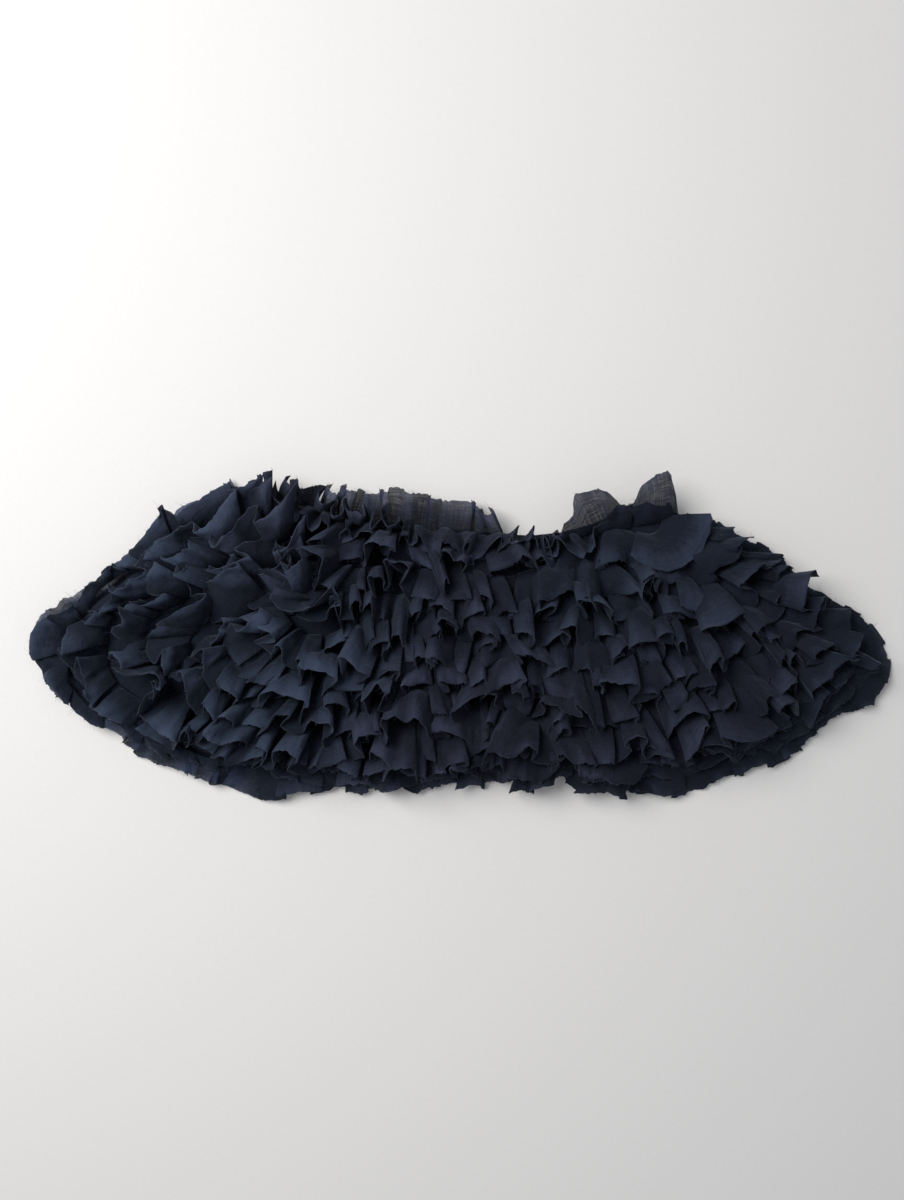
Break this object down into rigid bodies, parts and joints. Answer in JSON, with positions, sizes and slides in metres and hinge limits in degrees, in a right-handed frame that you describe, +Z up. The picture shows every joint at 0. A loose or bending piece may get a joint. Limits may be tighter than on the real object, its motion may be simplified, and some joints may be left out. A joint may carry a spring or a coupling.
{
  "type": "ruffled collar",
  "caption": "Ruffled cotton collar for the shoulders, laid flat with its front half on its back half: rows of pleated strips on a shaped yoke, with a neck ruffle and a hem ruffle.",
  "frame": {"origin": "on the surface that the collar lies on, under the middle of its outline seen from above", "axes": "+X from the left shoulder tip to the right one as seen from above with the neck away from the viewer, +Y from the hem to the neck, +Z up"},
  "size_m": [0.482, 0.1846, 0.0337],
  "materials": {
    "navy_cotton": "matte dark navy cotton with a plain weave",
    "navy_cotton_layers": "matte dark navy cotton, the hidden layers",
    "sheer_cotton": "thin navy cotton that lets light through where it lies single"
  },
  "bodies": {
    "root": {"back_half_layers": "navy_cotton_layers", "front_yoke": "navy_cotton", "front_ruffle_01": "navy_cotton", "front_ruffle_02": "navy_cotton", "front_ruffle_03": "navy_cotton", "front_ruffle_04": "navy_cotton", "front_ruffle_05": "navy_cotton", "front_ruffle_06": "navy_cotton", "front_ruffle_07": "navy_cotton", "front_ruffle_08": "navy_cotton", "front_ruffle_09": "navy_cotton", "front_ruffle_10": "navy_cotton", "front_ruffle_11": "navy_cotton", "front_neck_ruffle": "navy_cotton", "back_neck_ruffle": "sheer_cotton", "back_hem_ruffle": "sheer_cotton"}
  },
  "joints": []
}
